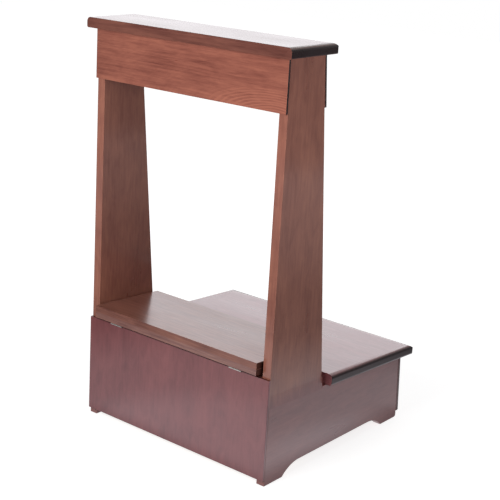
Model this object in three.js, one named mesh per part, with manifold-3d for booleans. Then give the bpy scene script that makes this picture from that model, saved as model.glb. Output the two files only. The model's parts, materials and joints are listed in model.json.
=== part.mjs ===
// A wooden prie-dieu (kneeler): two tapered uprights with a top board, a lidded compartment between
// their feet, and a sloping kneeling board behind them on a low plinth.
//
// Millimetres. +X is the stand's right, +Y runs from the front panel back to the kneeling board's
// nose, +Z is up. Inside the code, y = 0 is the plane of the front edges of the base sides and
// uprights; the finished stand is then moved so that the origin is on the floor, in the middle of
// its whole width and depth.
import * as THREE from 'three';
import { mergeVertices } from 'three/addons/utils/BufferGeometryUtils.js';
import Module from 'manifold-3d';

const wasm = await Module();
wasm.setup();

// ---------------------------------------------------------------- clearances
const seatGap = 0.3; // a piece that bears on a slope, and a round piece in its hole
const slidingFit = 0.5; // a loose board between two others
const arris = 1; // rounding of the edges of every planed board

// ---------------------------------------------------------------- base sides
const baseWidth = 498; // over the outer faces
const baseDepth = 486; // front edge to rear edge, along the floor
const sideThickness = 20;
const rearLean = 0.073; // the rear edge comes forward by this share of its height
const frontFootLength = 59;
const rearFootLength = 63;
const archHeight = 22.5; // underside between the feet, over the floor
const archRadius = 80; // arcs that bring the underside down to the feet
const rearFootRadius = 7;
const kneelerSeatHeight = 174; // height that the kneeler's seat would have at the front edge
const kneelerSlope = 0.05; // fall towards the rear, for each millimetre of depth
const housingDepth = 6; // how deep the uprights are let into the sides' top edges

// ---------------------------------------------------------------- uprights
const standHeight = 880;
const uprightThickness = 20;
const uprightInset = 1; // outer face inside the base side's outer face
const uprightFootDepth = 179;
const uprightTopDepth = 105;

// ---------------------------------------------------------------- top board and aprons
const topWidth = 526;
const topDepth = 149;
const topThickness = 21.5;
const topOverhang = 20; // past the uprights' front edges
const topNoseDepth = 21; // the rear edge's elliptical nose
const topNoseHeight = 14;
const topNoseFoot = 7; // radius under the nose
const topEndShoulder = 9; // radius on the ends' upper edges
const topEndFoot = 3.5; // radius on the ends' lower edges
const topCornerRadius = 6; // rear corners, in plan
const apronHeight = 103.5;
const apronThickness = 6;
const topCleatSection = 20;
const topCleatSetback = 4; // from the uprights' front and rear edges

// ---------------------------------------------------------------- front and rear panels
const frontPanelThickness = 6;
const frontPanelOverlap = 0; // each end past the base side's outer face
const frontPanelBottom = 13;
const frontPanelTop = 229;
const rearPanelThickness = 9;
const rearPanelBottom = 14;
const cornerBlockLeg = 24;
const cornerBlockLength = 90;

// ---------------------------------------------------------------- kneeling board
const kneelerWidth = 525;
const kneelerThickness = 25;
const kneelerSetback = 13; // front end behind the uprights' feet
const kneelerOverhang = 40; // nose behind the base sides' rear top corners
const kneelerNoseDepth = 31;
const kneelerNoseHeight = 17.5;
const kneelerNoseFoot = 7;
const kneelerEndShoulder = 10;
const kneelerEndFoot = 6;
const kneelerCornerRadius = 7; // rear corners, in plan
const tongueClearance = 1; // the front tongue beside the uprights and behind the compartment
const kneelerCleatSection = 20;
const kneelerCleatSetback = 30; // cleat's front end behind the board's front end
const kneelerCleatRearGap = 13; // cleat's rear end in front of the rear panel

// ---------------------------------------------------------------- compartment and lid
const lidThickness = 14;
const lidLathThickness = 13; // lath glued under the lid's front edge, which carries the hinges
const lidLathDepth = 45;
const lidSideGap = 4;
const lidOverhang = 10; // past the front panel and past the compartment's back
const lidSlope = 0.055;
const lidDepth = 195;
const compartmentBackThickness = 20;
const compartmentBackBottom = 30;
const compartmentFloorHeight = 45;
const compartmentFloorThickness = 8;
const floorCleatSection = 15;
const hingeRailSection = 20;

// ---------------------------------------------------------------- hinges
const hingeCentre = 166; // from the stand's middle
const hingeLength = 32;
const leafDepth = 25; // pin to the leaf's free edge
const leafThickness = 1.5;
const knuckleRadius = 2.5;
const hingePinRadius = 1.1;
const knuckleGap = 0.3;
const leafWeld = 0.6; // how far a leaf laps over its knuckle's crown
const leafCornerRadius = 3;

// ---------------------------------------------------------------- fasteners
const dowelRadius = 4;
const footDowelLength = 50;
const topDowelLength = 30;
const topDowelInBoard = 12;
const footDowelInset = 40; // from the uprights' front and rear edges
const topDowelInset = 30;
const hingeScrewRadius = 1.6;
const hingeScrewLength = 12;
const hingeScrewHead = 3.1;
const hingeScrewSpacing = 18;
const hingeScrewSetback = 17; // from the pin
const boardScrewRadius = 2;
const boardScrewHead = 4;
const boardScrewInBoard = 14;
const boardScrewInset = 25; // from the cleats' ends

// ---------------------------------------------------------------- derived places
const sideOuter = baseWidth / 2;
const sideInner = sideOuter - sideThickness;
const uprightOuter = sideOuter - uprightInset;
const uprightInner = uprightOuter - uprightThickness;
const uprightMiddle = uprightOuter - uprightThickness / 2;
const topUnderside = standHeight - topThickness;
const apronBottom = topUnderside - apronHeight;
const kneelerAngle = Math.atan(kneelerSlope);
const kneelerFront = uprightFootDepth + kneelerSetback;
const lidAngle = Math.atan(lidSlope);
const lidFront = -frontPanelThickness - lidOverhang;
const lidRear = lidFront + lidDepth;
const lidHalfWidth = uprightInner - lidSideGap;
const compartmentRear = lidRear - lidOverhang;
const compartmentInnerRear = compartmentRear - compartmentBackThickness;
const hingeY = -frontPanelThickness - knuckleRadius;
const hingeZ = frontPanelTop + knuckleRadius;
const lidUndersideAtPin = hingeZ + knuckleRadius - leafWeld + leafThickness + seatGap;
const lidRise = lidThickness / Math.cos(lidAngle); // through the lid board, measured plumb
const lidLathRise = lidLathThickness / Math.cos(lidAngle);

const kneelerSeat = (y) => kneelerSeatHeight - kneelerSlope * y;
const uprightSeat = (y) => kneelerSeat(y) - housingDepth;
const baseRear = (z) => baseDepth - rearLean * z;
const baseRearTop = (kneelerSeatHeight - kneelerSlope * baseDepth) / (1 - kneelerSlope * rearLean);
const lathUnderside = (y) => lidUndersideAtPin - lidSlope * (y - hingeY);
const lidUnderside = (y) => lathUnderside(y) + lidLathRise;
const lidTop = (y) => lidUnderside(y) + lidRise;
const uprightFootRearHeight = uprightSeat(uprightFootDepth);
const baseRearTopDepth = baseRear(baseRearTop);
const kneelerLength = baseRearTopDepth + kneelerOverhang - kneelerFront;
const kneelerCleatRear = (baseRearTopDepth - kneelerCleatRearGap - kneelerFront) / Math.cos(kneelerAngle);
const kneelerNoseTip =
  kneelerFront + kneelerLength + (kneelerThickness - kneelerNoseHeight) * Math.sin(kneelerAngle);
const standMiddle = (kneelerNoseTip - topOverhang) / 2;
const uprightTaper = (uprightFootDepth - uprightTopDepth) / (topUnderside - uprightFootRearHeight);
const uprightRear = (z) => uprightTopDepth + uprightTaper * (topUnderside - z);

// ---------------------------------------------------------------- solids
const curveSegments = 10;
const roundSegments = 16;

// Axes of an outline drawn across the stand (y, z), along it (x, z) and in plan (x, y).
const ALONG_X = [[0, 1, 0], [0, 0, 1], [1, 0, 0]];
const ALONG_Y = [[1, 0, 0], [0, 0, 1], [0, -1, 0]];
const ALONG_Z = [[1, 0, 0], [0, 1, 0], [0, 0, 1]];

function toSolid(geometry) {
  const bare = geometry.clone();
  bare.deleteAttribute('normal');
  bare.deleteAttribute('uv');
  const merged = mergeVertices(bare, 1e-4);
  const vertProperties = new Float32Array(merged.attributes.position.array);
  const triVerts = new Uint32Array(merged.index.array);
  return new wasm.Manifold(new wasm.Mesh({ numProp: 3, vertProperties, triVerts }));
}

function toGeometry(solid) {
  const mesh = solid.getMesh();
  const geometry = new THREE.BufferGeometry();
  geometry.setAttribute('position', new THREE.BufferAttribute(mesh.vertProperties.slice(), 3));
  geometry.setIndex(new THREE.BufferAttribute(mesh.triVerts.slice(), 1));
  geometry.computeVertexNormals();
  return geometry;
}

// Extrudes an outline along one axis from `from` to `to`, with its edges rounded by `round`.
function extrude(outline, axes, from, to, round = 0) {
  const geometry = new THREE.ExtrudeGeometry(outline, {
    depth: to - from - 2 * round,
    curveSegments,
    bevelEnabled: round > 0,
    bevelThickness: round,
    bevelSize: round,
    bevelOffset: -round,
    bevelSegments: 2,
  });
  const [u, v, w] = axes.map((axis) => new THREE.Vector3(...axis));
  const start = axes === ALONG_Y ? -to : from;
  geometry.translate(0, 0, start + round);
  geometry.applyMatrix4(new THREE.Matrix4().makeBasis(u, v, w));
  return geometry;
}

function polygon(points) {
  return new THREE.Shape(points.map(([a, b]) => new THREE.Vector2(a, b)));
}

function box([x0, x1], [y0, y1], [z0, z1], round = 0) {
  return extrude(polygon([[y0, z0], [y1, z0], [y1, z1], [y0, z1]]), ALONG_X, x0, x1, round);
}

// A cylinder from point a to point b.
function rod(radius, a, b, segments = roundSegments) {
  const from = new THREE.Vector3(...a);
  const along = new THREE.Vector3(...b).sub(from);
  const geometry = new THREE.CylinderGeometry(radius, radius, along.length(), segments);
  geometry.translate(0, along.length() / 2, 0);
  const up = new THREE.Vector3(0, 1, 0);
  geometry.applyQuaternion(new THREE.Quaternion().setFromUnitVectors(up, along.normalize()));
  geometry.translate(...a);
  return geometry;
}

// A countersunk screw, head at the origin and point along -Z. `clearance` makes its hole.
function countersunkScrew(radius, head, length, clearance = 0) {
  const shank = radius + clearance;
  const rim = head + clearance;
  const point = -length - clearance;
  const cone = rim - shank;
  const tip = clearance > 0 ? shank : radius * 0.3;
  const profile = [[0, point], [tip, point], [shank, point + radius], [shank, -cone], [rim, 0], [0, 0]];
  const geometry = new THREE.LatheGeometry(profile.map(([r, z]) => new THREE.Vector2(r, z)), roundSegments);
  geometry.rotateX(Math.PI / 2);
  return geometry;
}

function cut(geometry, cutters) {
  const rest = cutters.reduce((solid, cutter) => solid.subtract(toSolid(cutter)), toSolid(geometry));
  return toGeometry(rest);
}

function join(geometries) {
  return toGeometry(geometries.map(toSolid).reduce((whole, next) => whole.add(next)));
}

function common(geometries) {
  return toGeometry(geometries.map(toSolid).reduce((whole, next) => whole.intersect(next)));
}

const mirrored = (make) => [-1, 1].map(make);

// ---------------------------------------------------------------- materials
const wood = (color, roughness) => new THREE.MeshStandardMaterial({ color, roughness, metalness: 0 });
const stainedBoard = () => wood(0x7a4a40, 0.28);
const stainedPanel = () => wood(0x85514b, 0.28);
const rawTimber = () => wood(0xb98d62, 0.7);
const steel = () => new THREE.MeshStandardMaterial({ color: 0xc9c6c0, roughness: 0.3, metalness: 1 });

// ---------------------------------------------------------------- the stand
const stand = new THREE.Group();
stand.position.y = -standMiddle;

function addPiece(name, geometry, material, parent = stand) {
  const mesh = new THREE.Mesh(geometry, material);
  mesh.name = name;
  parent.add(mesh);
  return mesh;
}

function addTilted(angle, y, z) {
  const group = new THREE.Group();
  group.position.set(0, y, z);
  group.rotation.x = -angle;
  stand.add(group);
  return group;
}

// ---- dowels that pin the uprights to the sides below and to the top board above
const footDowelDepths = [footDowelInset, uprightFootDepth - footDowelInset];
const topDowelDepths = [topDowelInset, uprightTopDepth - topDowelInset];

function footDowel(side, y, clearance = 0) {
  const middle = uprightSeat(y);
  const reach = footDowelLength / 2 + clearance;
  const x = side * uprightMiddle;
  return rod(dowelRadius + clearance, [x, y, middle - reach], [x, y, middle + reach]);
}

function topDowel(side, y, clearance = 0) {
  const top = topUnderside + topDowelInBoard;
  const x = side * uprightMiddle;
  const from = [x, y, top - topDowelLength - clearance];
  return rod(dowelRadius + clearance, from, [x, y, top + clearance]);
}

const footDowels = (side, clearance) => footDowelDepths.map((y) => footDowel(side, y, clearance));
const topDowels = (side, clearance) => topDowelDepths.map((y) => topDowel(side, y, clearance));

// ---- base side: bracket feet, arched underside, sloping top edge housed for the upright
function baseSideOutline() {
  const run = Math.sqrt(archRadius ** 2 - (archRadius - archHeight) ** 2);
  const turn = Math.atan2(archRadius - archHeight, run);
  const centreHeight = archHeight - archRadius;
  const housingEnd = uprightFootDepth + seatGap;
  const outline = new THREE.Shape();
  outline.moveTo(0, 0);
  outline.lineTo(frontFootLength, 0);
  outline.absarc(frontFootLength + run, centreHeight, archRadius, Math.PI - turn, Math.PI / 2, true);
  outline.absarc(baseDepth - rearFootLength - run, centreHeight, archRadius, Math.PI / 2, turn, true);
  outline.lineTo(baseDepth - rearFootRadius, 0);
  outline.quadraticCurveTo(baseDepth, 0, baseRear(rearFootRadius), rearFootRadius);
  outline.lineTo(baseRear(baseRearTop), baseRearTop);
  outline.lineTo(housingEnd, kneelerSeat(housingEnd));
  outline.lineTo(housingEnd, uprightSeat(housingEnd));
  outline.lineTo(0, uprightSeat(0));
  return outline;
}

function baseSide(side) {
  const [from, to] = side < 0 ? [-sideOuter, -sideInner] : [sideInner, sideOuter];
  return cut(extrude(baseSideOutline(), ALONG_X, from, to, arris), footDowels(side, seatGap));
}

// ---- upright: plumb front edge, tapered rear edge, foot cut to the slope of its housing
function upright(side) {
  const [from, to] = side < 0 ? [-uprightOuter, -uprightInner] : [uprightInner, uprightOuter];
  const outline = polygon([
    [0, uprightSeat(0) + seatGap],
    [uprightFootDepth, uprightFootRearHeight + seatGap],
    [uprightTopDepth, topUnderside],
    [0, topUnderside],
  ]);
  const holes = [...footDowels(side, seatGap), ...topDowels(side, seatGap)];
  return cut(extrude(outline, ALONG_X, from, to, arris), holes);
}

// ---- a board's section: square front, elliptical rear nose with a small radius under it
function nosedSection(front, rear, thickness, noseDepth, noseHeight, noseFoot) {
  const outline = new THREE.Shape();
  outline.moveTo(front, 0);
  outline.lineTo(rear - noseFoot, 0);
  outline.absarc(rear - noseFoot, noseFoot, noseFoot, -Math.PI / 2, 0, false);
  outline.absellipse(rear - noseDepth, thickness - noseHeight, noseDepth, noseHeight, 0, Math.PI / 2);
  outline.lineTo(front + arris, thickness);
  outline.absarc(front + arris, thickness - arris, arris, Math.PI / 2, Math.PI, false);
  return outline;
}

// ---- a board's section across its width: rounded upper and lower edges at both ends
function roundEndedSection(width, thickness, shoulder, foot) {
  const half = width / 2;
  const outline = new THREE.Shape();
  outline.moveTo(-half + foot, 0);
  outline.lineTo(half - foot, 0);
  outline.absarc(half - foot, foot, foot, -Math.PI / 2, 0, false);
  outline.absarc(half - shoulder, thickness - shoulder, shoulder, 0, Math.PI / 2, false);
  outline.absarc(-half + shoulder, thickness - shoulder, shoulder, Math.PI / 2, Math.PI, false);
  outline.absarc(-half + foot, foot, foot, Math.PI, Math.PI * 1.5, false);
  return outline;
}

// ---- a board's plan with rounded rear corners, and a narrower tongue in front where it has one
function boardPlan(width, front, rear, cornerRadius, tongue = []) {
  const half = width / 2;
  const outline = new THREE.Shape();
  outline.moveTo(-half, front);
  tongue.forEach(([x, y]) => outline.lineTo(x, y));
  outline.lineTo(half, front);
  outline.absarc(half - cornerRadius, rear - cornerRadius, cornerRadius, 0, Math.PI / 2, false);
  outline.absarc(-half + cornerRadius, rear - cornerRadius, cornerRadius, Math.PI / 2, Math.PI, false);
  return outline;
}

// ---- top board
function topBoard() {
  const front = -topOverhang;
  const rear = front + topDepth;
  const plan = boardPlan(topWidth, front, rear, topCornerRadius);
  const across = roundEndedSection(topWidth, topThickness, topEndShoulder, topEndFoot);
  const section = nosedSection(front, rear, topThickness, topNoseDepth, topNoseHeight, topNoseFoot);
  const board = common([
    extrude(section, ALONG_X, -topWidth / 2, topWidth / 2),
    extrude(across, ALONG_Y, front, rear),
    extrude(plan, ALONG_Z, 0, topThickness),
  ]);
  board.translate(0, 0, topUnderside);
  const dowelHoles = mirrored((side) => topDowels(side, seatGap)).flat();
  return cut(board, [...dowelHoles, ...topScrewPlaces().map((at) => topScrew(at, seatGap))]);
}

// ---- aprons under the top board
function frontApron() {
  const span = [-uprightOuter, uprightOuter];
  return box(span, [-apronThickness, 0], [apronBottom, topUnderside], arris);
}

function rearApron() {
  const inner = (z) => uprightRear(z) + seatGap;
  const outline = polygon([
    [inner(apronBottom), apronBottom],
    [inner(apronBottom) + apronThickness, apronBottom],
    [inner(topUnderside) + apronThickness, topUnderside],
    [inner(topUnderside), topUnderside],
  ]);
  return extrude(outline, ALONG_X, -uprightOuter, uprightOuter, arris);
}

// ---- cleats that carry the top board, each screwed up into it
const topCleatSpan = [topCleatSetback, uprightTopDepth - topCleatSetback];

function topScrewPlaces() {
  const x = uprightInner - topCleatSection / 2;
  const depths = [topCleatSpan[0] + boardScrewInset, topCleatSpan[1] - boardScrewInset];
  return mirrored((side) => depths.map((y) => [side * x, y])).flat();
}

function boardScrew(cleatSection, clearance) {
  const length = cleatSection + boardScrewInBoard;
  const screw = countersunkScrew(boardScrewRadius, boardScrewHead, length, clearance);
  screw.rotateX(Math.PI);
  return screw;
}

function topScrew([x, y], clearance = 0) {
  return boardScrew(topCleatSection, clearance).translate(x, y, topUnderside - topCleatSection);
}

function topCleat(side) {
  const xs = [side * uprightInner, side * (uprightInner - topCleatSection)].sort((a, b) => a - b);
  const bar = box(xs, topCleatSpan, [topUnderside - topCleatSection, topUnderside]);
  return cut(bar, topScrewPlaces().filter(([x]) => x * side > 0).map((at) => topScrew(at, seatGap)));
}

// ---- front panel, over the front edges of the sides and the uprights' feet
function frontPanel() {
  const reach = sideOuter + frontPanelOverlap;
  return box([-reach, reach], [-frontPanelThickness, 0], [frontPanelBottom, frontPanelTop], arris);
}

// ---- rear panel, on the leaning rear edges of the sides, cut to the kneeler's slope on top
function rearPanel() {
  const inner = (z) => baseRear(z) + seatGap;
  const top = (y) => kneelerSeat(y);
  const innerTop = top(inner(baseRearTop));
  const outerY = inner(innerTop) + rearPanelThickness;
  const outline = polygon([
    [inner(rearPanelBottom), rearPanelBottom],
    [inner(rearPanelBottom) + rearPanelThickness, rearPanelBottom],
    [outerY, top(outerY)],
    [inner(innerTop), innerTop],
  ]);
  return extrude(outline, ALONG_X, -sideOuter, sideOuter, arris);
}

// ---- triangular blocks glued into the corners between the rear panel and the sides
function cornerBlocks() {
  const leanAngle = Math.atan(rearLean);
  return mirrored((side) => {
    const x = side * sideInner;
    const corner = [[x, 0], [x - side * cornerBlockLeg, 0], [x, -cornerBlockLeg]];
    const block = extrude(polygon(side < 0 ? corner : corner.reverse()), ALONG_Z, 0, cornerBlockLength);
    block.rotateX(leanAngle);
    return block.translate(0, baseRear(archHeight), archHeight);
  });
}

// ---- kneeling board, in a frame of its own: x across, y down the slope, z off its underside
const kneelerRun = kneelerLength / Math.cos(kneelerAngle);
const kneelerFrame = addTilted(kneelerAngle, kneelerFront, kneelerSeat(kneelerFront) + seatGap);

function kneelerScrewPlaces() {
  const x = sideInner - kneelerCleatSection / 2;
  const depths = [kneelerCleatSetback + boardScrewInset, kneelerCleatRear - boardScrewInset];
  return mirrored((side) => depths.map((y) => [side * x, y])).flat();
}

function kneelerScrew([x, y], clearance = 0) {
  return boardScrew(kneelerCleatSection, clearance).translate(x, y, -kneelerCleatSection - seatGap);
}

function kneelingBoard() {
  const reach = (kneelerFront - compartmentRear) / Math.cos(kneelerAngle) - tongueClearance;
  const tongue = uprightInner - tongueClearance;
  const corners = [[-tongue, 0], [-tongue, -reach], [tongue, -reach], [tongue, 0]];
  const plan = boardPlan(kneelerWidth, 0, kneelerRun, kneelerCornerRadius, corners);
  const across = roundEndedSection(kneelerWidth, kneelerThickness, kneelerEndShoulder, kneelerEndFoot);
  const noses = [kneelerThickness, kneelerNoseDepth, kneelerNoseHeight, kneelerNoseFoot];
  const board = common([
    extrude(nosedSection(-reach, kneelerRun, ...noses), ALONG_X, -kneelerWidth / 2, kneelerWidth / 2),
    extrude(across, ALONG_Y, -reach, kneelerRun),
    extrude(plan, ALONG_Z, 0, kneelerThickness),
  ]);
  return cut(board, kneelerScrewPlaces().map((at) => kneelerScrew(at, seatGap)));
}

function kneelerCleat(side) {
  const xs = [side * sideInner, side * (sideInner - kneelerCleatSection)].sort((a, b) => a - b);
  const ys = [kneelerCleatSetback, kneelerCleatRear];
  const bar = box(xs, ys, [-kneelerCleatSection - seatGap, -seatGap]);
  const screws = kneelerScrewPlaces().filter(([x]) => x * side > 0);
  return cut(bar, screws.map((at) => kneelerScrew(at, seatGap)));
}

// ---- compartment: back, floor on two cleats, and the rail that carries the hinges
function compartmentBack() {
  const stepHeight = uprightSeat(compartmentRear) - slidingFit;
  const upper = uprightInner;
  const outline = polygon([
    [-sideInner, compartmentBackBottom], [sideInner, compartmentBackBottom],
    [sideInner, stepHeight], [upper, stepHeight],
    [upper, lidTop(0)], [-upper, lidTop(0)],
    [-upper, stepHeight], [-sideInner, stepHeight],
  ]);
  const board = extrude(outline, ALONG_Y, compartmentInnerRear, compartmentRear);
  const spare = [compartmentInnerRear - 1, compartmentRear + 1];
  const underLid = polygon([
    [spare[0], lidUnderside(spare[0]) - seatGap], [spare[1], lidUnderside(spare[1]) - seatGap],
    [spare[1], lidTop(0) + 1], [spare[0], lidTop(0) + 1],
  ]);
  return cut(board, [extrude(underLid, ALONG_X, -sideOuter, sideOuter)]);
}

function compartmentFloor() {
  const reach = sideInner - slidingFit;
  const top = compartmentFloorHeight + compartmentFloorThickness;
  return box([-reach, reach], [0, compartmentInnerRear], [compartmentFloorHeight, top]);
}

function floorCleat(side) {
  const xs = [side * sideInner, side * (sideInner - floorCleatSection)].sort((a, b) => a - b);
  const zs = [compartmentFloorHeight - floorCleatSection, compartmentFloorHeight];
  return box(xs, [0, compartmentInnerRear], zs);
}

function hingeRail() {
  const zs = [frontPanelTop - hingeRailSection, frontPanelTop];
  const bar = box([-uprightInner, uprightInner], [0, hingeRailSection], zs);
  return cut(bar, hingeScrewPlaces().map((at) => railScrew(at, seatGap)));
}

// ---- lid: plumb front and rear edges, sloping faces
const lidScrewFrame = { y: hingeY, z: lathUnderside(hingeY) - seatGap };

function lidBoard() {
  const outline = polygon([
    [lidFront, lidUnderside(lidFront)], [lidRear, lidUnderside(lidRear)],
    [lidRear, lidTop(lidRear)], [lidFront, lidTop(lidFront)],
  ]);
  return extrude(outline, ALONG_X, -lidHalfWidth, lidHalfWidth, arris);
}

function lidLath() {
  const rear = lidFront + lidLathDepth;
  const outline = polygon([
    [lidFront, lathUnderside(lidFront)], [rear, lathUnderside(rear)],
    [rear, lidUnderside(rear)], [lidFront, lidUnderside(lidFront)],
  ]);
  const lath = extrude(outline, ALONG_X, -lidHalfWidth, lidHalfWidth, arris);
  return cut(lath, hingeScrewPlaces().map((at) => lidScrew(at, seatGap)));
}

// ---- butt hinges: the rail's leaf has the two outer knuckles, the lid's leaf the middle one
function hingeScrewPlaces() {
  const half = hingeScrewSpacing / 2;
  return mirrored((side) => [-half, half].map((dx) => side * hingeCentre + dx)).flat();
}

function railScrew(x, clearance = 0) {
  const screw = countersunkScrew(hingeScrewRadius, hingeScrewHead, hingeScrewLength, clearance);
  return screw.translate(x, hingeY + hingeScrewSetback, frontPanelTop + leafThickness);
}

function lidScrew(x, clearance = 0) {
  const screw = countersunkScrew(hingeScrewRadius, hingeScrewHead, hingeScrewLength, clearance);
  screw.rotateX(Math.PI);
  screw.translate(x, hingeScrewSetback, -leafThickness);
  screw.rotateX(-lidAngle);
  return screw.translate(0, lidScrewFrame.y, lidScrewFrame.z);
}

function knuckleSpans(side) {
  const start = side * hingeCentre - hingeLength / 2;
  const third = hingeLength / 3;
  return [0, 1, 2].map((i) => [start + i * third + knuckleGap / 2, start + (i + 1) * third - knuckleGap / 2]);
}

function knuckle([x0, x1], clearance = 0) {
  const radius = knuckleRadius + clearance;
  const end = clearance / 2;
  return rod(radius, [x0 - end, hingeY, hingeZ], [x1 + end, hingeY, hingeZ], 20);
}

function leafPlate(side) {
  const half = hingeLength / 2;
  const corner = half - leafCornerRadius;
  const plan = new THREE.Shape();
  plan.moveTo(-half, -leafWeld);
  plan.lineTo(half, -leafWeld);
  plan.absarc(corner, leafDepth - leafCornerRadius, leafCornerRadius, 0, Math.PI / 2, false);
  plan.absarc(-corner, leafDepth - leafCornerRadius, leafCornerRadius, Math.PI / 2, Math.PI, false);
  return extrude(plan, ALONG_Z, 0, leafThickness).translate(side * hingeCentre, 0, 0);
}

function hingeLeaf(side, plate, ownKnuckles, otherKnuckles, screwHoles) {
  const bore = rod(
    hingePinRadius + seatGap,
    [side * hingeCentre - hingeLength, hingeY, hingeZ],
    [side * hingeCentre + hingeLength, hingeY, hingeZ],
  );
  const leaf = join([plate, ...ownKnuckles.map((span) => knuckle(span))]);
  const clearings = otherKnuckles.map((span) => knuckle(span, knuckleGap));
  return cut(leaf, [bore, ...clearings, ...screwHoles]);
}

function railLeaf(side) {
  const [first, middle, last] = knuckleSpans(side);
  const plate = leafPlate(side).translate(0, hingeY, frontPanelTop);
  const holes = hingeScrewPlaces().filter((x) => x * side > 0).map((x) => railScrew(x, seatGap));
  return hingeLeaf(side, plate, [first, last], [middle], holes);
}

function lidLeaf(side) {
  const [first, middle, last] = knuckleSpans(side);
  const plate = leafPlate(side).translate(0, 0, -leafThickness).rotateX(-lidAngle);
  plate.translate(0, lidScrewFrame.y, lidScrewFrame.z);
  const holes = hingeScrewPlaces().filter((x) => x * side > 0).map((x) => lidScrew(x, seatGap));
  return hingeLeaf(side, plate, [middle], [first, last], holes);
}

function hingePin(side) {
  const half = hingeLength / 2;
  const from = [side * hingeCentre - half, hingeY, hingeZ];
  return rod(hingePinRadius, from, [side * hingeCentre + half, hingeY, hingeZ]);
}

// ---------------------------------------------------------------- assembly
const sideNames = [[-1, 'left'], [1, 'right']];

for (const [side, name] of sideNames) {
  addPiece(`base_side_${name}`, baseSide(side), stainedPanel());
  addPiece(`upright_${name}`, upright(side), stainedBoard());
  addPiece(`top_cleat_${name}`, topCleat(side), rawTimber());
  addPiece(`kneeler_cleat_${name}`, kneelerCleat(side), rawTimber(), kneelerFrame);
  addPiece(`floor_cleat_${name}`, floorCleat(side), rawTimber());
  addPiece(`hinge_rail_leaf_${name}`, railLeaf(side), steel());
  addPiece(`hinge_lid_leaf_${name}`, lidLeaf(side), steel());
  addPiece(`hinge_pin_${name}`, hingePin(side), steel());
}

addPiece('front_panel', frontPanel(), stainedPanel());
addPiece('rear_panel', rearPanel(), stainedPanel());
addPiece('front_apron', frontApron(), stainedBoard());
addPiece('rear_apron', rearApron(), stainedBoard());
addPiece('top_board', topBoard(), stainedBoard());
addPiece('kneeling_board', kneelingBoard(), stainedBoard(), kneelerFrame);
addPiece('compartment_back', compartmentBack(), stainedPanel());
addPiece('compartment_floor', compartmentFloor(), rawTimber());
addPiece('hinge_rail', hingeRail(), stainedBoard());
addPiece('lid_board', lidBoard(), stainedBoard());
addPiece('lid_lath', lidLath(), stainedBoard());
function addSet(name, geometries, material, parent = stand) {
  geometries.forEach((geometry, i) => addPiece(`${name}_${i + 1}`, geometry, material(), parent));
}

addSet('foot_dowel', mirrored((side) => footDowels(side)).flat(), rawTimber);
addSet('top_dowel', mirrored((side) => topDowels(side)).flat(), rawTimber);
addSet('top_board_screw', topScrewPlaces().map((at) => topScrew(at)), steel);
addSet('kneeler_screw', kneelerScrewPlaces().map((at) => kneelerScrew(at)), steel, kneelerFrame);
addSet('hinge_rail_screw', hingeScrewPlaces().map((x) => railScrew(x)), steel);
addSet('hinge_lid_screw', hingeScrewPlaces().map((x) => lidScrew(x)), steel);
addSet('corner_block', cornerBlocks(), rawTimber);

export default stand;
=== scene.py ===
"""Looks of a wooden prie-dieu: stained beech boards under gloss lacquer, and steel butt hinges.

Metres, in the frame's own axes: +X the stand's right, +Y from the front panel to the kneeling board's
nose, +Z up, origin on the floor. Every board keeps the frame's shape and gets its grain, stain and
lacquer here.
"""
import json
import math

import bmesh
import bpy
from mathutils import Matrix, Vector


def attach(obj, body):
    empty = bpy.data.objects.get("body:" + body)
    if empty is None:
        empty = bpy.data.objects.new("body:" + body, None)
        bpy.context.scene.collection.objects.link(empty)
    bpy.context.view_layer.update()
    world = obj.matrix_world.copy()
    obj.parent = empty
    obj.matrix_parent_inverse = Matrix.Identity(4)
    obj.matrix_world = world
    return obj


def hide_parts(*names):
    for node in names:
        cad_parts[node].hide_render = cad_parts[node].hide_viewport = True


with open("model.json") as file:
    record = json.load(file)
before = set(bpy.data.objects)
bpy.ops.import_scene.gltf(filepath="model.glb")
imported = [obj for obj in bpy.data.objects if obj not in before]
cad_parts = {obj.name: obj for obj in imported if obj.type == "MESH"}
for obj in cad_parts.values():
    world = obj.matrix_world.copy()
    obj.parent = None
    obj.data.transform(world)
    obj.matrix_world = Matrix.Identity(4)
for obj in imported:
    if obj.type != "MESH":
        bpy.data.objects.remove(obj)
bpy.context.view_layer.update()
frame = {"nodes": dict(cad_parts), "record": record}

MM = 0.001


# ---------------------------------------------------------------- helpers for colours and nodes
# The sockets of a Mix node: its two numbers, or its two colours and the mixed colour.
NUMBER_A, NUMBER_B = 2, 3
COLOUR_A, COLOUR_B, MIXED = 6, 7, 2


def linear(hex_colour):
    """An sRGB hex colour as linear RGBA."""
    channels = [int(hex_colour[i : i + 2], 16) / 255 for i in (1, 3, 5)]
    return [c / 12.92 if c <= 0.04045 else ((c + 0.055) / 1.055) ** 2.4 for c in channels] + [1.0]


def times(colour, shares):
    """A colour with each of its channels multiplied by a share."""
    return [channel * share for channel, share in zip(colour, shares)]


def node(tree, kind, inputs=None, stops=(), **settings):
    """Adds a node. Inputs are values, or (node, output) pairs to link.

    Stops are a colour ramp's (position, colour) pairs, where a bare number is a grey.
    """
    made = tree.nodes.new(kind)
    for key, value in settings.items():
        setattr(made, key, value)
    for key, value in (inputs or {}).items():
        if isinstance(value, tuple) and isinstance(value[0], bpy.types.Node):
            tree.links.new(value[0].outputs[value[1]], made.inputs[key])
        else:
            made.inputs[key].default_value = value
    if stops:
        elements = made.color_ramp.elements
        while len(elements) < len(stops):
            elements.new(0.5)  # anywhere: each stop is put in its place below
        for element, (position, colour) in zip(elements, stops):
            element.position = position
            element.color = colour if isinstance(colour, list) else [colour] * 3 + [1.0]
    return made


def new_material(name):
    material = bpy.data.materials.new(name)
    material.use_nodes = True
    material.node_tree.nodes.clear()
    return material, material.node_tree


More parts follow.
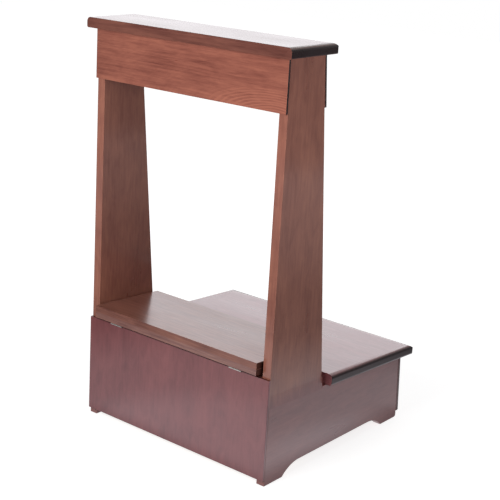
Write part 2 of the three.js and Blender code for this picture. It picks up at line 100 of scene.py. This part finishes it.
# ---------------------------------------------------------------- lacquered beech
# Mahogany-brown spirit stain on beech. The front frame's boards took it browner and the base's
# panels redder; end grain drinks it far darker, but for the base sides' feet, which were sanded.
STAIN = {
    "frame": "#a26756",
    "apron": "#9b5b4b",
    "lid": "#8b584a",
    "top": "#79483d",
    "lath": "#8f6259",
    "kneeler": "#965a5e",
    "panel": "#84484a",
    "base": "#8d5350",
}
END_GRAIN = {
    "frame": "#5a352c",
    "apron": "#2a1618",
    "lid": "#4a2a22",
    "top": "#241012",
    "lath": "#4a2c26",
    "kneeler": "#2a1214",
    "panel": "#5a302c",
    "base": "#9c6a66",
}
# The stain's shares of red, green and blue in the wood's dark and light figure, in the ray flecks, and in the
# painted highlight along the arrises, a lighter colour that stands in for the light their rounding catches.
DARK_FIGURE = (0.62, 0.54, 0.56, 1.0)
LIGHT_FIGURE = (1.36, 1.46, 1.40, 1.0)
RAY_FLECK = (0.45, 0.45, 0.45, 1.0)
# painted highlight on the arrises, as shares of the stain
ARRIS_HIGHLIGHT_SHARES = (2.6, 3.1, 3.1, 1.0)

# How wide each pattern is across the grain, and that width as a share of its length along the grain.
TONE_WIDTH = 55 * MM
TONE_STRETCH = 0.3
STREAK_WIDTH = 4.5 * MM
FIBRE_WIDTH = 1.1 * MM  # beech fibres are far finer, and are drawn this coarse to show
GRAIN_STRETCH = 1 / 22
MOTTLE_WIDTH = 21 * MM  # where the stain took unevenly
MOTTLE_STRETCH = 0.42
RAY_SPACING = 2.4 * MM  # real rays lie closer, and are drawn this coarse to show
RAY_STRETCH = 0.16
# How much each pattern counts in the colour; streaks and fibres also follow the board's figure.
TONE_SHARE = 0.8
STREAK_SHARE = 1.15
FIBRE_SHARE = 0.6
MOTTLE_SHARE = 0.8
MIDDLE = 0.5  # where the stain's own colour lies between its dark and its light figure

RING_SPACING = 4.6 * MM
WAVE_PITCH = math.tau / 20  # metres from ring to ring of the wave texture at a scale of 1
ARCH_STRETCH = (0.32, 0, 1)  # how far each axis counts towards the rings: they run long along X
ARCH_FADE = 31 * MM
ARCH_REACH = 62 * MM
ARCH_SHARE = 1.1
ARCH_SHARE_BEYOND = 0.05
ARCH_LINES = [(0.45, 0.0), (0.95, 1.0)]

RAY_CORE, RAY_EDGE = 0.05, 0.17  # a ray's half width, dark and with its soft edge, in ray spacings
RAY_STRENGTH = 0.12
END_FACING = (0.55, 0.95)  # how squarely a face meets the grain, from long grain to end grain
ARRIS_LEAN = (0.975, 0.88)  # a normal's largest part, from a flat face to an arris
# how strongly the arrises take the painted highlight
ARRIS_HIGHLIGHT_STRENGTH = 0.8
NOSED = ("top", "kneeler")  # stains of the boards whose nosings are too broad to be arrises

WOOD_IOR = 1.5
WOOD_ROUGHNESS = [(0.3, 0.27), (0.7, 0.38)]  # the sealed wood under the lacquer, by its tone
LACQUER_IOR = 1.5
END_COAT = 0.35  # end grain soaks up most of the lacquer
ORANGE_PEEL = 7 * MM
PEEL_HEIGHT = 0.2 * MM
PEEL_STRENGTH = 0.03
STREAK_RELIEF = 0.5  # how much of the streaks still stands through the lacquer

# The uprights' feet are toned into the base's colour, between these heights.
TONING_TOP = 208 * MM
TONING_FOOT = 166 * MM

NEXT_BOARD = (0.37, 0.53, 0.71)  # metres from one board's wood to the next one's
ALONG = {"X": (0, -math.pi / 2, 0), "Y": (math.pi / 2, 0, 0), "Z": (0, 0, 0)}
AXIS = {"X": (1, 0, 0), "Y": (0, 1, 0), "Z": (0, 0, 1)}


def wood_figure(tree, wood, figure):
    """Slow changes of tone, streaks, fibres and mottled stain; gives the tone, the streaks and the sum.

    The sum keeps to the middle, so that the board keeps its stain's own colour on the whole.
    """
    along = node(tree, "ShaderNodeMapping", {"Vector": (wood, 0), "Scale": (1, 1, GRAIN_STRETCH)})
    broad = node(tree, "ShaderNodeMapping", {"Vector": (wood, 0), "Scale": (1, 1, TONE_STRETCH)})
    patchy = node(tree, "ShaderNodeMapping", {"Vector": (wood, 0), "Scale": (1, 1, MOTTLE_STRETCH)})
    tone = node(tree, "ShaderNodeTexNoise", {"Vector": (broad, 0), "Scale": 1 / TONE_WIDTH, "Detail": 3.0})
    streak = node(
        tree,
        "ShaderNodeTexNoise",
        {
            "Vector": (along, 0),
            "Scale": 1 / STREAK_WIDTH,
            "Detail": 4.0,
            "Roughness": 0.55,
            "Distortion": 0.5,
        },
    )
    fibre = node(tree, "ShaderNodeTexNoise", {"Vector": (along, 0), "Scale": 1 / FIBRE_WIDTH, "Detail": 2.0})
    mottle = node(
        tree,
        "ShaderNodeTexNoise",
        {
            "Vector": (patchy, 0),
            "Scale": 1 / MOTTLE_WIDTH,
            "Detail": 3.0,
            "Roughness": 0.55,
            "Distortion": 0.8,
        },
    )
    shares = [
        (tone, TONE_SHARE),
        (streak, STREAK_SHARE * figure),
        (fibre, FIBRE_SHARE * figure),
        (mottle, MOTTLE_SHARE),
    ]
    total = MIDDLE - sum(share for _, share in shares) / 2
    for pattern, share in shares:
        added = node(
            tree, "ShaderNodeMath", {0: (pattern, "Fac"), 1: share, 2: total}, operation="MULTIPLY_ADD"
        )
        total = (added, 0)
    return tone, streak, added


def growth_arches(tree, place, centre):
    """Growth rings, cut on the slab into nested arches that fade out along the board."""
    middle = node(
        tree,
        "ShaderNodeMapping",
        {"Vector": (place, "Object"), "Location": centre, "Scale": ARCH_STRETCH},
    )
    rings = node(
        tree,
        "ShaderNodeTexWave",
        {
            "Vector": (middle, 0),
            "Scale": WAVE_PITCH / RING_SPACING,
            "Distortion": 2.6,
            "Detail": 2.0,
            "Detail Scale": 0.9,
        },
        wave_type="RINGS",
        rings_direction="Y",
        wave_profile="SAW",
    )
    off_centre = node(tree, "ShaderNodeVectorMath", {0: (middle, 0)}, operation="LENGTH")
    shown = node(
        tree,
        "ShaderNodeMapRange",
        {
            "Value": (off_centre, "Value"),
            "From Min": ARCH_FADE,
            "From Max": ARCH_REACH,
            "To Min": ARCH_SHARE,
            "To Max": ARCH_SHARE_BEYOND,
        },
        interpolation_type="SMOOTHSTEP",
    )
    lines = node(tree, "ShaderNodeValToRGB", {"Fac": (rings, "Fac")}, stops=ARCH_LINES)
    return node(tree, "ShaderNodeMath", {0: (lines, "Color"), 1: (shown, 0)}, operation="MULTIPLY")


def toned_foot(tree, place, stained, own, other):
    """The stain, toned into another board's colour towards the foot."""
    height = node(tree, "ShaderNodeSeparateXYZ", {"Vector": (place, "Object")})
    foot = node(
        tree,
        "ShaderNodeMapRange",
        {"Value": (height, "Z"), "From Min": TONING_TOP, "From Max": TONING_FOOT},
        interpolation_type="SMOOTHSTEP",
    )
    change = [there / here for here, there in zip(own, other)]
    toned = node(
        tree,
        "ShaderNodeMix",
        {"Factor": (foot, 0), COLOUR_A: stained, COLOUR_B: change},
        data_type="RGBA",
        blend_type="MULTIPLY",
    )
    return toned, MIXED


def ray_flecks(tree, wood, stained, own, figure):
    """Short dark flecks, where the cut runs across the beech's rays."""
    rays = node(tree, "ShaderNodeMapping", {"Vector": (wood, 0), "Scale": (1, 1, RAY_STRETCH)})
    ray = node(tree, "ShaderNodeTexVoronoi", {"Vector": (rays, 0), "Scale": 1 / RAY_SPACING})
    fleck = node(
        tree,
        "ShaderNodeValToRGB",
        {"Fac": (ray, "Distance")},
        stops=[(RAY_CORE, RAY_STRENGTH * figure**2), (RAY_EDGE, 0.0)],
    )
    flecked = node(
        tree,
        "ShaderNodeMix",
        {"Factor": (fleck, "Color"), COLOUR_A: stained, COLOUR_B: times(own, RAY_FLECK)},
        data_type="RGBA",
    )
    return flecked, MIXED


def end_faces(tree, place, grain):
    """1 on the faces that cut across the grain, and 0 on the others."""
    facing = node(
        tree, "ShaderNodeVectorMath", {0: (place, "Normal"), 1: AXIS[grain]}, operation="DOT_PRODUCT"
    )
    endwise = node(tree, "ShaderNodeMath", {0: (facing, "Value")}, operation="ABSOLUTE")
    long_grain, end_grain = END_FACING
    return node(
        tree,
        "ShaderNodeMapRange",
        {"Value": (endwise, 0), "From Min": long_grain, "From Max": end_grain},
        interpolation_type="SMOOTHSTEP",
    )


def arrises(tree, place, rubbed):
    """Where the painted highlight falls, standing in for light caught by the rounded arrises: on the arrises,
    whose normals lean away from all three axes, at the strength rubbed.
    """
    leaning = node(tree, "ShaderNodeVectorMath", {0: (place, "Normal")}, operation="ABSOLUTE")
    parts = node(tree, "ShaderNodeSeparateXYZ", {"Vector": (leaning, 0)})
    side_on = node(tree, "ShaderNodeMath", {0: (parts, "X"), 1: (parts, "Y")}, operation="MAXIMUM")
    squarest = node(tree, "ShaderNodeMath", {0: (side_on, 0), 1: (parts, "Z")}, operation="MAXIMUM")
    flat, leant = ARRIS_LEAN
    return node(
        tree,
        "ShaderNodeMapRange",
        {"Value": (squarest, 0), "From Min": flat, "From Max": leant, "To Max": rubbed},
    )


def lacquered_beech(name, grain, seed, stain, figure, coat, coat_roughness, arches=None, toned_into=None):
    """Stained beech under gloss clear lacquer: soft streaks, fine rays and a wet, even sheen.

    grain is the axis that the fibres run along, and figure how strongly they show. coat is how much of
    the last lacquer coat is left, and coat_roughness how it was rubbed. arches is where the growth
    rings' arches are centred, and toned_into the stain that the board's foot was toned into.
    """
    material, tree = new_material(f"lacquered_beech_{name}")
    place = node(tree, "ShaderNodeTexCoord")
    wood = node(
        tree,
        "ShaderNodeMapping",
        {
            "Vector": (place, "Object"),
            "Location": [seed * step for step in NEXT_BOARD],
            "Rotation": ALONG[grain],
        },
    )
    tone, streak, figured = wood_figure(tree, wood, figure)
    if arches:
        rings = growth_arches(tree, place, arches)
        figured = node(tree, "ShaderNodeMath", {0: (figured, 0), 1: (rings, 0)}, operation="ADD")
    own = linear(STAIN[stain])
    ground = node(
        tree,
        "ShaderNodeValToRGB",
        {"Fac": (figured, 0)},
        stops=[(0.0, times(own, DARK_FIGURE)), (MIDDLE, own), (1.0, times(own, LIGHT_FIGURE))],
    )
    stained = (ground, "Color")
    if toned_into:
        stained = toned_foot(tree, place, stained, own, linear(STAIN[toned_into]))
    stained = ray_flecks(tree, wood, stained, own, figure)
    ends = end_faces(tree, place, grain)
    with_ends = node(
        tree,
        "ShaderNodeMix",
        {"Factor": (ends, 0), COLOUR_A: stained, COLOUR_B: linear(END_GRAIN[stain])},
        data_type="RGBA",
    )
    # The arrises get a painted highlight, a lighter colour standing in for the light their rounding catches;
    # the broad nosings of the top and kneeling boards get none.
    arris = arrises(tree, place, 0.0 if stain in NOSED else ARRIS_HIGHLIGHT_STRENGTH)
    coloured = node(
        tree,
        "ShaderNodeMix",
        {"Factor": (arris, 0), COLOUR_A: (with_ends, MIXED), COLOUR_B: times(own, ARRIS_HIGHLIGHT_SHARES)},
        data_type="RGBA",
    )
    lacquer = node(
        tree, "ShaderNodeMapRange", {"Value": (ends, 0), "To Min": coat, "To Max": END_COAT * coat}
    )
    rough = node(tree, "ShaderNodeValToRGB", {"Fac": (tone, "Fac")}, stops=WOOD_ROUGHNESS)
    peel = node(
        tree, "ShaderNodeTexNoise", {"Vector": (place, "Object"), "Scale": 1 / ORANGE_PEEL, "Detail": 1.0}
    )
    rise = node(
        tree,
        "ShaderNodeMath",
        {0: (streak, "Fac"), 1: STREAK_RELIEF, 2: (peel, "Fac")},
        operation="MULTIPLY_ADD",
    )
    bump = node(
        tree, "ShaderNodeBump", {"Height": (rise, 0), "Strength": PEEL_STRENGTH, "Distance": PEEL_HEIGHT}
    )
    shader = node(
        tree,
        "ShaderNodeBsdfPrincipled",
        {
            "Base Color": (coloured, MIXED),
            "Roughness": (rough, "Color"),
            "IOR": WOOD_IOR,
            "Coat Weight": (lacquer, 0),
            "Coat Roughness": coat_roughness,
            "Coat IOR": LACQUER_IOR,
            "Normal": (bump, 0),
        },
    )
    node(tree, "ShaderNodeOutputMaterial", {"Surface": (shader, 0)})
    return material


# ---------------------------------------------------------------- the inside's timber, and the steel
# Each one's dark and light colours, its roughness by its pattern, and the height of its relief.
TIMBER_STRETCH = 0.08
TIMBER_COLOURS = [(0.35, linear("#a57c50")), (0.65, linear("#cfab7c"))]
TIMBER_ROUGHNESS = [(0.3, 0.55), (0.7, 0.75)]
TIMBER_RELIEF = 0.2 * MM
TIMBER_RELIEF_STRENGTH = 0.2

ROLLING_MARK = 0.4 * MM  # real ones are finer, and are drawn this coarse to show
ROLLING_STRETCH = 0.1
ZINC_COLOURS = [(0.3, linear("#b9b6ad")), (0.7, linear("#dedcd6"))]
ZINC_ROUGHNESS = [(0.3, 0.22), (0.7, 0.38)]
ZINC_RELIEF = 0.05 * MM
ZINC_RELIEF_STRENGTH = 0.1


def bare_timber():
    """Planed pine and beech inside the carcass, with no finish: pale, streaked and dull."""
    material, tree = new_material("bare_planed_timber")
    place = node(tree, "ShaderNodeTexCoord")
    along = node(tree, "ShaderNodeMapping", {"Vector": (place, "Object"), "Scale": (TIMBER_STRETCH, 1, 1)})
    streak = node(
        tree, "ShaderNodeTexNoise", {"Vector": (along, 0), "Scale": 1 / STREAK_WIDTH, "Detail": 5.0}
    )
    colour = node(tree, "ShaderNodeValToRGB", {"Fac": (streak, "Fac")}, stops=TIMBER_COLOURS)
    rough = node(tree, "ShaderNodeValToRGB", {"Fac": (streak, "Fac")}, stops=TIMBER_ROUGHNESS)
    bump = node(
        tree,
        "ShaderNodeBump",
        {"Height": (streak, "Fac"), "Strength": TIMBER_RELIEF_STRENGTH, "Distance": TIMBER_RELIEF},
    )
    shader = node(
        tree,
        "ShaderNodeBsdfPrincipled",
        {"Base Color": (colour, "Color"), "Roughness": (rough, "Color"), "Normal": (bump, 0)},
    )
    node(tree, "ShaderNodeOutputMaterial", {"Surface": (shader, 0)})
    return material


def zinc_plated_steel():
    """Bright zinc on rolled steel: a cool metal with faint rolling marks."""
    material, tree = new_material("zinc_plated_steel")
    place = node(tree, "ShaderNodeTexCoord")
    along = node(tree, "ShaderNodeMapping", {"Vector": (place, "Object"), "Scale": (ROLLING_STRETCH, 1, 1)})
    marks = node(
        tree, "ShaderNodeTexNoise", {"Vector": (along, 0), "Scale": 1 / ROLLING_MARK, "Detail": 3.0}
    )
    colour = node(tree, "ShaderNodeValToRGB", {"Fac": (marks, "Fac")}, stops=ZINC_COLOURS)
    rough = node(tree, "ShaderNodeValToRGB", {"Fac": (marks, "Fac")}, stops=ZINC_ROUGHNESS)
    bump = node(
        tree,
        "ShaderNodeBump",
        {"Height": (marks, "Fac"), "Strength": ZINC_RELIEF_STRENGTH, "Distance": ZINC_RELIEF},
    )
    shader = node(
        tree,
        "ShaderNodeBsdfPrincipled",
        {
            "Base Color": (colour, "Color"),
            "Metallic": 1.0,
            "Roughness": (rough, "Color"),
            "Normal": (bump, 0),
        },
    )
    node(tree, "ShaderNodeOutputMaterial", {"Surface": (shader, 0)})
    return material


# ---------------------------------------------------------------- boards
# Each board's grain direction, stain, strength of figure, share of the last lacquer coat and its
# roughness: the lid and the top board are rubbed by hands and books.
BOARDS = {
    "base_side_left": ("Y", "base", 0.4, 1.0, 0.1),
    "base_side_right": ("Y", "base", 0.4, 1.0, 0.1),
    "upright_left": ("Z", "frame", 0.55, 1.0, 0.1),
    "upright_right": ("Z", "frame", 0.55, 1.0, 0.1),
    "front_panel": ("Z", "panel", 0.4, 1.0, 0.1),
    "rear_panel": ("X", "panel", 0.5, 1.0, 0.1),
    "front_apron": ("X", "apron", 1.2, 1.0, 0.1),
    "rear_apron": ("X", "apron", 1.2, 1.0, 0.1),
    "top_board": ("X", "top", 1.2, 0.85, 0.14),
    "kneeling_board": ("X", "kneeler", 0.8, 1.0, 0.1),
    "lid_board": ("X", "lid", 1.4, 0.78, 0.19),
    "lid_lath": ("X", "lath", 1.6, 1.0, 0.1),
    "compartment_back": ("X", "frame", 1.0, 1.0, 0.1),
    "hinge_rail": ("X", "frame", 1.0, 1.0, 0.1),
}
TONED_INTO = {"upright_left": "base", "upright_right": "base"}
# The shift that brings the centre of each slab-cut board's arches to 0, counted after ARCH_STRETCH.
ARCHES = {"front_apron": (-0.072, 0.0, -0.742), "rear_apron": (0.04, 0.0, -0.8)}

WELD = 0.01 * MM  # corners closer than this are one
FLAT = math.radians(0.5)  # facets that meet at less than this are one flat face
SHARP = math.radians(35)  # edges that turn more than this stay sharp
FLATS_FIRST = 100  # the modifier's highest weight, where a corner's normal follows its largest face

BODY_OF = {name: body for body, names in frame["record"]["behaviour"]["bodies"].items() for name in names}


def smooth_copy(name):
    """A piece in the frame node's own shape, shaded smooth except at its sharp edges."""
    source = frame["nodes"][name]
    mesh = source.data.copy()
    mesh.name = f"{name}_finished"
    piece = bpy.data.objects.new(f"{name}_finished", mesh)
    bpy.context.scene.collection.objects.link(piece)
    piece.matrix_world = source.matrix_world
    shape = bmesh.new()
    shape.from_mesh(mesh)
    bmesh.ops.remove_doubles(shape, verts=shape.verts, dist=WELD)
    bmesh.ops.dissolve_limit(shape, angle_limit=FLAT, verts=shape.verts, edges=shape.edges)
    for face in shape.faces:
        face.smooth = True
    for edge in shape.edges:
        edge.smooth = not edge.is_manifold or edge.calc_face_angle(0) < SHARP
    shape.to_mesh(mesh)
    shape.free()
    # Broad faces keep their flat normals, and the rounded arrises alone bend the light.
    flats = piece.modifiers.new("flat_faces", "WEIGHTED_NORMAL")
    flats.keep_sharp = True
    flats.weight = FLATS_FIRST
    return piece


def finish_boards():
    for seed, (name, (grain, *finish)) in enumerate(BOARDS.items()):
        piece = smooth_copy(name)
        lacquered = lacquered_beech(name, grain, seed, *finish, ARCHES.get(name), TONED_INTO.get(name))
        piece.data.materials.clear()
        piece.data.materials.append(lacquered)
        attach(piece, BODY_OF[name])
        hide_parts(name)


SIDE_OUTER = 249 * MM
UPRIGHT_OUTER = 248 * MM
JOINT_FRONT = -247.7 * MM
JOINT_REAR = -68.7 * MM
JOINT_HEIGHT = 168 * MM  # at the front; it falls towards the rear as the sides' seat does
JOINT_FALL = 0.05
FILLER_BELOW = 1.5 * MM
FILLER_ABOVE = 26 * MM
FILLER_SUNK = 0.05 * MM  # under the base side's face, at the filler's lower edge
FILLER_PROUD = 0.03 * MM  # over the upright's face, at its upper edge
FILLER_DEPTH = 0.4 * MM  # into the upright


def fill_joint(side, name):
    """The upright's shoulder, filled and sanded almost flush with the base side before the stain."""
    buried = UPRIGHT_OUTER - FILLER_DEPTH
    profile = [
        (SIDE_OUTER - FILLER_SUNK, -FILLER_BELOW),
        (UPRIGHT_OUTER + FILLER_PROUD, FILLER_ABOVE),
        (buried, FILLER_ABOVE),
        (buried, -FILLER_BELOW),
    ]
    corners = []
    for y in (JOINT_FRONT, JOINT_REAR):
        height = JOINT_HEIGHT - JOINT_FALL * (y - JOINT_FRONT)
        corners += [(side * x, y, height + z) for x, z in profile]
    faces = [(0, 1, 5, 4), (1, 2, 6, 5), (2, 3, 7, 6), (3, 0, 4, 7), (3, 2, 1, 0), (4, 5, 6, 7)]
    if side > 0:
        faces = [face[::-1] for face in faces]
    mesh = bpy.data.meshes.new(f"filled_joint_{name}")
    mesh.from_pydata(corners, [], faces)
    mesh.materials.append(bpy.data.materials[f"lacquered_beech_upright_{name}"])
    filler = bpy.data.objects.new(f"filled_joint_{name}", mesh)
    bpy.context.scene.collection.objects.link(filler)
    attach(filler, BODY_OF[f"base_side_{name}"])


def finish_the_rest():
    """Steel for the hinges and the screws, bare timber for what only the inside shows."""
    timber = bare_timber()
    steel = zinc_plated_steel()
    for name, thing in frame["nodes"].items():
        if name in BOARDS:
            continue
        metal = "screw" in name or name.startswith("hinge_")
        thing.data.materials.clear()
        thing.data.materials.append(steel if metal else timber)


# ---------------------------------------------------------------- floor
FLOOR_SIZE = 14.0
FLOOR_REACH = 4.0  # the ramps' full length, in metres from the middle of the pool of light
POOL_CENTRE = (0.05, -0.15, 0.0)
POOL_SHAPE = (1.2, 0.85, 1.0)  # how much faster than in a round pool the light falls off, by axis
POOL_TINT = (1.0, 0.97, 1.03)  # what the lacquer mirrors is a trace violet
# By distance from the pool's middle, how bright the lacquer mirrors the floor: a bright pool, a dim
# ring, and a paler floor far off.
FLOOR_SHINE = [
    (0.32, 1.12),
    (0.44, 0.68),
    (0.64, 0.62),
    (0.80, 0.34),
    (0.94, 0.12),
    (1.30, 0.12),
    (1.75, 0.28),
    (2.75, 0.44),
    (3.05, 0.12),
]
FLOOR_BOUNCE = [(0.70, 0.42), (0.95, 0.18)]  # how much light it throws back up
FLOOR_GLOW = [(0.3, 0.80), (1.4, 1.0)]  # how white it looks, over what the lamps give it
PAPER_GREY = (0.5, 0.5, 0.5, 1)
FOOTPRINT = (0.25, 0.25, 0.0)  # about half the base's width and depth
FOOT_SHADE = 0.4  # how much of its brightness the mirrored floor keeps right at the stand's foot
FOOT_SHADE_REACH = 0.07


def paper_floor():
    """Matt white paper: an even pale ground that shows only a soft shadow.

    What the eye sees, what the lacquer mirrors and what it throws up are set apart, as in a studio where the
    floor is lit on its own, and are painted on as glow: the lacquer mirrors a painted pool of light, with
    painted shade round the stand's foot; the floor throws painted bounce light up; and the eye sees the
    lamps' light on the grey paper over a glow that keeps it white.
    """
    material, tree = new_material("paper_floor")
    path = node(tree, "ShaderNodeLightPath")
    place = node(tree, "ShaderNodeNewGeometry")
    off_centre = node(
        tree, "ShaderNodeVectorMath", {0: (place, "Position"), 1: POOL_CENTRE}, operation="SUBTRACT"
    )
    oval = node(tree, "ShaderNodeVectorMath", {0: (off_centre, 0), 1: POOL_SHAPE}, operation="MULTIPLY")
    distance = node(tree, "ShaderNodeVectorMath", {0: (oval, 0)}, operation="LENGTH")
    reach = node(tree, "ShaderNodeMath", {0: (distance, "Value"), 1: FLOOR_REACH}, operation="DIVIDE")
    tinted = [(far, [shine * tint for tint in POOL_TINT] + [1.0]) for far, shine in FLOOR_SHINE]
    pool = node(
        tree,
        "ShaderNodeValToRGB",
        {"Fac": (reach, 0)},
        stops=[(far / FLOOR_REACH, colour) for far, colour in tinted],
    )
    # The stand's own shade dims the mirrored floor close round its foot.
    flat = node(tree, "ShaderNodeVectorMath", {0: (place, "Position")}, operation="ABSOLUTE")
    past = node(tree, "ShaderNodeVectorMath", {0: (flat, 0), 1: FOOTPRINT}, operation="SUBTRACT")
    clear = node(tree, "ShaderNodeVectorMath", {0: (past, 0), 1: (0, 0, 0)}, operation="MAXIMUM")
    gap = node(tree, "ShaderNodeVectorMath", {0: (clear, 0)}, operation="LENGTH")
    shade = node(
        tree,
        "ShaderNodeMapRange",
        {"Value": (gap, "Value"), "From Max": FOOT_SHADE_REACH, "To Min": FOOT_SHADE},
        interpolation_type="SMOOTHSTEP",
    )
    mirrored = node(tree, "ShaderNodeEmission", {"Color": (pool, "Color"), "Strength": (shade, 0)})
    thrown = node(
        tree,
        "ShaderNodeValToRGB",
        {"Fac": (reach, 0)},
        stops=[(far / FLOOR_REACH, bounce) for far, bounce in FLOOR_BOUNCE],
    )
    bounce = node(tree, "ShaderNodeEmission", {"Color": (thrown, "Color")})
    paper = node(tree, "ShaderNodeBsdfDiffuse", {"Color": PAPER_GREY})
    lit = node(
        tree,
        "ShaderNodeValToRGB",
        {"Fac": (reach, 0)},
        stops=[(far / FLOOR_REACH, glow) for far, glow in FLOOR_GLOW],
    )
    glow = node(tree, "ShaderNodeEmission", {"Color": (lit, "Color")})
    seen = node(tree, "ShaderNodeAddShader", {0: (paper, 0), 1: (glow, 0)})
    not_mirrored = node(
        tree, "ShaderNodeMixShader", {"Fac": (path, "Is Camera Ray"), 1: (bounce, 0), 2: (seen, 0)}
    )
    shader = node(
        tree, "ShaderNodeMixShader", {"Fac": (path, "Is Glossy Ray"), 1: (not_mirrored, 0), 2: (mirrored, 0)}
    )
    node(tree, "ShaderNodeOutputMaterial", {"Surface": (shader, 0)})
    return material


def studio_floor():
    half = FLOOR_SIZE / 2
    mesh = bpy.data.meshes.new("studio_floor")
    corners = [(-half, -half, 0), (half, -half, 0), (half, half, 0), (-half, half, 0)]
    mesh.from_pydata(corners, [], [(0, 1, 2, 3)])
    mesh.materials.append(paper_floor())
    floor = bpy.data.objects.new("studio_floor", mesh)
    bpy.context.scene.collection.objects.link(floor)


# ---------------------------------------------------------------- backdrop, lamps and camera
BACKDROP_SHINE = [(0.0, 1.0), (0.56, 1.0), (0.66, 0.12)]  # by height in the sky, 0 to 1
BACKDROP_SIDE = (-0.64, 0.77, 0.0)  # the lit backdrop stands behind the stand and to its left
BACKDROP_EDGE = (0.2, 0.6)  # from the room to the backdrop, by how squarely one faces it
ROOM_SHINE = 0.10  # the dim room elsewhere
AMBIENT = 0.12  # the low light from all round


def studio_world():
    """White to the eye, a lit backdrop in a dim room to the lacquer, and a little light all round."""
    world = bpy.data.worlds.new("studio")
    bpy.context.scene.world = world
    world.use_nodes = True
    tree = world.node_tree
    tree.nodes.clear()
    path = node(tree, "ShaderNodeLightPath")
    direction = node(tree, "ShaderNodeTexCoord")
    parts = node(tree, "ShaderNodeSeparateXYZ", {"Vector": (direction, "Generated")})
    to_backdrop = node(
        tree, "ShaderNodeVectorMath", {0: (direction, "Generated"), 1: BACKDROP_SIDE}, operation="DOT_PRODUCT"
    )
    height = node(tree, "ShaderNodeValToRGB", {"Fac": (parts, "Z")}, stops=BACKDROP_SHINE)
    room_edge, backdrop_edge = BACKDROP_EDGE
    behind = node(
        tree,
        "ShaderNodeMapRange",
        {
            "Value": (to_backdrop, "Value"),
            "From Min": room_edge,
            "From Max": backdrop_edge,
            "To Min": ROOM_SHINE,
        },
        interpolation_type="SMOOTHSTEP",
    )
    backdrop = node(tree, "ShaderNodeMath", {0: (height, "Color"), 1: (behind, 0)}, operation="MULTIPLY")
    unseen = node(
        tree,
        "ShaderNodeMix",
        {"Factor": (path, "Is Glossy Ray"), NUMBER_A: AMBIENT, NUMBER_B: (backdrop, 0)},
        data_type="FLOAT",
    )
    strength = node(
        tree,
        "ShaderNodeMix",
        {"Factor": (path, "Is Camera Ray"), NUMBER_A: (unseen, 0), NUMBER_B: 1.0},
        data_type="FLOAT",
    )
    background = node(tree, "ShaderNodeBackground", {"Color": (1, 1, 1, 1), "Strength": (strength, 0)})
    node(tree, "ShaderNodeOutputWorld", {"Surface": (background, 0)})


def softbox(name, place, target, size, watts, tint=(1, 1, 1), mirrored=True):
    light = bpy.data.lights.new(name, "AREA")
    light.shape = "RECTANGLE"
    light.size, light.size_y = size
    light.energy = watts
    light.color = tint
    lamp = bpy.data.objects.new(name, light)
    lamp.location = place
    lamp.rotation_euler = (Vector(target) - Vector(place)).to_track_quat("-Z", "Y").to_euler()
    lamp.visible_camera = False
    lamp.visible_glossy = mirrored
    bpy.context.scene.collection.objects.link(lamp)


def studio_light():
    """Each softbox's place, what it points at, its size and its watts."""
    softbox("key_softbox", (0.06, -1.45, 1.02), (0, -0.25, 0.6), (0.6, 0.6), 13.9, mirrored=False)
    softbox("right_softbox", (0.9, -0.32, 0.80), (0.25, -0.17, 0.70), (0.4, 0.4), 1.9)
    softbox("top_softbox", (0.2, 0.9, 2.4), (0, 0, 0.4), (1.5, 1.5), 2.0, mirrored=False)
    softbox("rear_fill", (-0.2, 2.3, 0.95), (0, 0, 0.4), (1.2, 1.2), 9.0, mirrored=False)
    softbox("rear_panel_light", (-1.6, 2.0, 1.0), (0, 0, 0.5), (3.2, 1.4), 5.6, tint=(1.0, 0.9, 1.0))


CAMERA_AZIMUTH = math.radians(39.893)
CAMERA_ELEVATION = math.radians(16.083)
CAMERA_ROLL = math.radians(-2.841)
CAMERA_TARGET = Vector((-165.935, 49.146, 381.875)) * MM
CAMERA_DISTANCE = 2824.167 * MM
CAMERA_LENS = 88.36  # mm, on a sensor 36 mm wide
CAMERA_SENSOR = 36
CAMERA_SHIFT = (0.07506, -0.03566)
CAMERA_RANGE = (0.05, 50)  # the nearest and the farthest that it takes in


def studio_camera():
    data = bpy.data.cameras.new("studio_camera")
    camera = bpy.data.objects.new("studio_camera", data)
    bpy.context.scene.collection.objects.link(camera)
    flat = math.cos(CAMERA_ELEVATION)
    back = Vector(
        (math.sin(CAMERA_AZIMUTH) * flat, -math.cos(CAMERA_AZIMUTH) * flat, math.sin(CAMERA_ELEVATION))
    )
    facing = (-back).to_track_quat("-Z", "Y").to_matrix()
    camera.location = CAMERA_TARGET + back * CAMERA_DISTANCE
    camera.rotation_euler = (facing @ Matrix.Rotation(-CAMERA_ROLL, 3, "Z")).to_euler()
    data.lens = CAMERA_LENS
    data.sensor_width = CAMERA_SENSOR
    data.shift_x, data.shift_y = CAMERA_SHIFT
    data.clip_start, data.clip_end = CAMERA_RANGE
    bpy.context.scene.camera = camera


# ---------------------------------------------------------------- the scene
studio_camera()
finish_boards()
fill_joint(-1, "left")
fill_joint(1, "right")
finish_the_rest()
studio_floor()
studio_world()
studio_light()
bpy.context.scene.view_settings.view_transform = "Standard"
